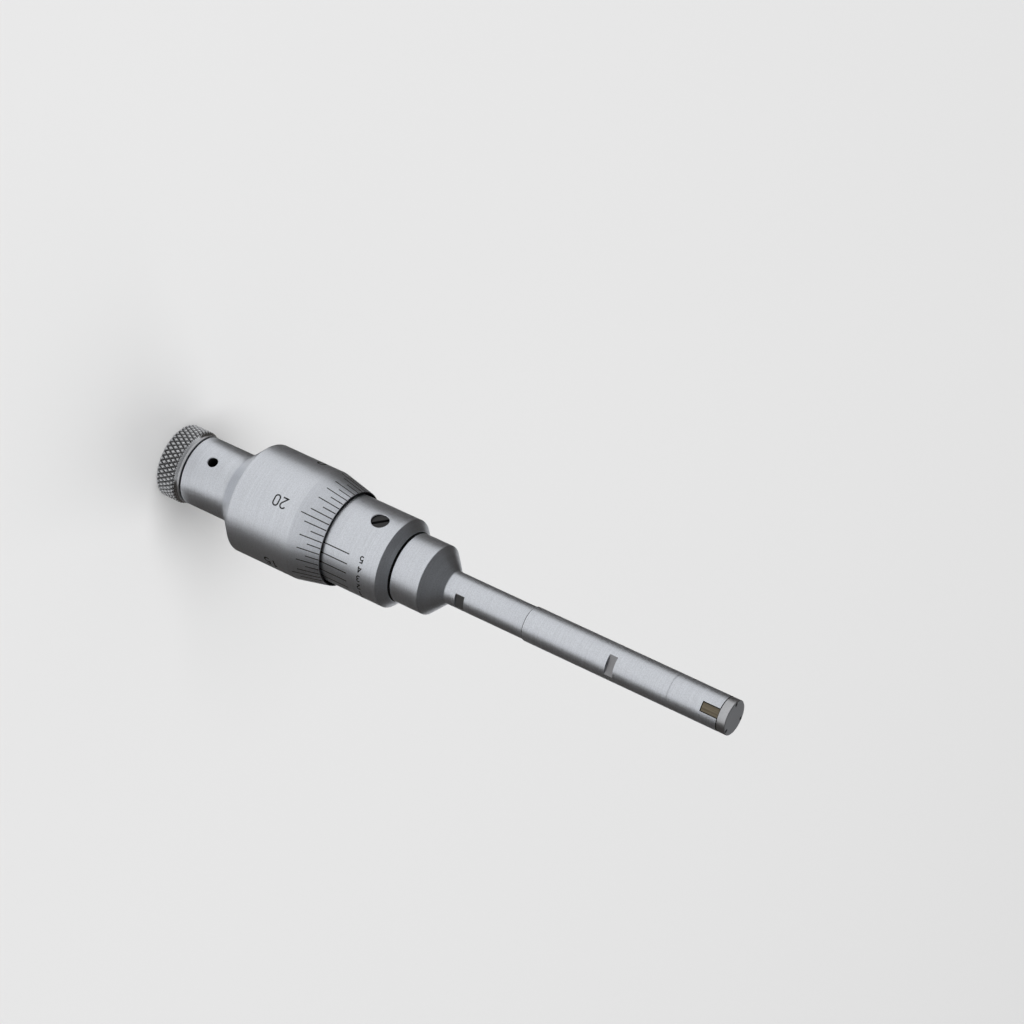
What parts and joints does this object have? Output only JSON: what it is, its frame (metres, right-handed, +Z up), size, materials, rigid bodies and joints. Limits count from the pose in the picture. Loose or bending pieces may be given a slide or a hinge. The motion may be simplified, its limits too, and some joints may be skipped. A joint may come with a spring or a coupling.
{
  "type": "inside micrometer",
  "caption": "Three-point inside micrometer with a knurled slipping knob, graduated thimble, vernier sleeve, stem and a slim head whose anvils are driven out by a cone.",
  "frame": {"origin": "centre of the knob's end face, on which the micrometer stands", "axes": "+Z runs up from the knob to the measuring head"},
  "size_m": [0.0244, 0.0244, 0.1388],
  "materials": {
    "satin_chrome": "satin matt chrome",
    "knurled_steel": "knurled, bright",
    "ground_steel": "ground",
    "black_steel": "blackened",
    "cap_steel": "ground",
    "carbide": "lapped",
    "bronze": "plain",
    "spring_steel": "plain"
  },
  "bodies": {
    "barrel": {"sleeve": "satin_chrome", "set_screw": "black_steel", "split_nut": "ground_steel", "adjusting_nut": "ground_steel", "stem": "satin_chrome", "guide_bush": "bronze", "return_spring": "spring_steel", "head_body": "satin_chrome", "anvil_spring_1": "spring_steel", "anvil_spring_2": "spring_steel", "anvil_spring_3": "spring_steel", "end_cap": "cap_steel", "cap_screws": "black_steel"},
    "pusher": {"push_rod": "ground_steel", "thrust_ball": "ground_steel", "measuring_cone": "ground_steel"},
    "thimble": {"thimble": "satin_chrome", "spindle": "ground_steel", "knob_screw": "ground_steel"},
    "knob": {"knob": "knurled_steel", "clutch_disc": "bronze", "clutch_spring": "spring_steel"},
    "anvil_1": {"anvil_1": "carbide"},
    "anvil_2": {"anvil_2": "carbide"},
    "anvil_3": {"anvil_3": "carbide"}
  },
  "joints": [
    {"name": "cone_slide", "type": "slide", "parent": "barrel", "child": "pusher", "axis": [0, 0, 1], "range_m": [0, 0.0024], "deforming": ["return_spring"]},
    {"name": "thimble_turn", "type": "hinge", "parent": "pusher", "child": "thimble", "pos_m": [0, 0, 0.026], "axis": [0, 0, 1], "range_deg": [0, 3456]},
    {"name": "knob_turn", "type": "hinge", "parent": "thimble", "child": "knob", "pos_m": [0, 0, 0.003], "axis": [0, 0, 1], "continuous": true},
    {"name": "anvil_1_slide", "type": "slide", "parent": "barrel", "child": "anvil_1", "axis": [-0.6293, -0.7771, 0], "range_m": [0, 0.0012], "deforming": ["anvil_spring_1"]},
    {"name": "anvil_2_slide", "type": "slide", "parent": "barrel", "child": "anvil_2", "axis": [-0.3584, 0.9336, 0], "range_m": [0, 0.0012], "deforming": ["anvil_spring_2"]},
    {"name": "anvil_3_slide", "type": "slide", "parent": "barrel", "child": "anvil_3", "axis": [0.9877, -0.1564, 0], "range_m": [0, 0.0012], "deforming": ["anvil_spring_3"]}
  ],
  "couplings": [
    {"joint": "thimble_turn", "follows": "cone_slide", "rad_per_m": 25133},
    {"joint": "anvil_1_slide", "follows": "cone_slide", "ratio": 0.5},
    {"joint": "anvil_2_slide", "follows": "cone_slide", "ratio": 0.5},
    {"joint": "anvil_3_slide", "follows": "cone_slide", "ratio": 0.5}
  ]
}
